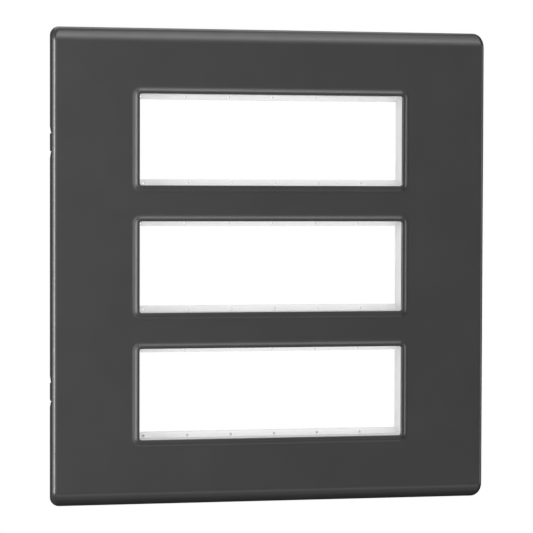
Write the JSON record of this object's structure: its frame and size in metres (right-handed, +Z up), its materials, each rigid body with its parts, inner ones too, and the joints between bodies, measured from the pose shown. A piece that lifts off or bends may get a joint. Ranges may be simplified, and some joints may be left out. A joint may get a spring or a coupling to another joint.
{
  "type": "wall plate cover",
  "caption": "Rectangular dark cover plate with stacked window openings and raised lips, clipped over a white support frame for modular switches and sockets.",
  "frame": {"origin": "centre of the plate on the wall surface, in the middle of the middle window", "axes": "+X to the right and +Z up as the plate hangs on the wall, +Y into the wall, so the front faces -Y"},
  "size_m": [0.2228, 0.0267, 0.2388],
  "materials": {
    "cover_plastic": "satin moulded graphite grey, very fine spark texture",
    "frame_plastic": "plain white moulded, low sheen",
    "screw_zinc": "bright zinc plate"
  },
  "bodies": {
    "frame": {"support_frame": "frame_plastic", "frame_screw_left_bottom": "screw_zinc", "frame_screw_left_middle": "screw_zinc", "frame_screw_left_top": "screw_zinc", "frame_screw_right_bottom": "screw_zinc", "frame_screw_right_middle": "screw_zinc", "frame_screw_right_top": "screw_zinc"},
    "cover": {"front_cover": "cover_plastic"},
    "snap_tab_left_lower": {"snap_tab_left_lower": "cover_plastic"},
    "snap_tab_left_upper": {"snap_tab_left_upper": "cover_plastic"},
    "snap_tab_right_lower": {"snap_tab_right_lower": "cover_plastic"},
    "snap_tab_right_upper": {"snap_tab_right_upper": "cover_plastic"}
  },
  "joints": [
    {"name": "cover_pull_off", "type": "slide", "parent": "frame", "child": "cover", "axis": [0, -1, 0], "range_m": [0, 0.03]},
    {"name": "snap_tab_left_lower_flex", "type": "hinge", "parent": "cover", "child": "snap_tab_left_lower", "pos_m": [-0.1103, -0.0055, -0.062], "axis": [0, 0, 1], "range_deg": [0, 6], "stiffness_Nm_per_rad": 0.3},
    {"name": "snap_tab_left_upper_flex", "type": "hinge", "parent": "cover", "child": "snap_tab_left_upper", "pos_m": [-0.1103, -0.0055, 0.062], "axis": [0, 0, 1], "range_deg": [0, 6], "stiffness_Nm_per_rad": 0.3},
    {"name": "snap_tab_right_lower_flex", "type": "hinge", "parent": "cover", "child": "snap_tab_right_lower", "pos_m": [0.1103, -0.0055, -0.062], "axis": [0, 0, -1], "range_deg": [0, 6], "stiffness_Nm_per_rad": 0.3},
    {"name": "snap_tab_right_upper_flex", "type": "hinge", "parent": "cover", "child": "snap_tab_right_upper", "pos_m": [0.1103, -0.0055, 0.062], "axis": [0, 0, -1], "range_deg": [0, 6], "stiffness_Nm_per_rad": 0.3}
  ]
}
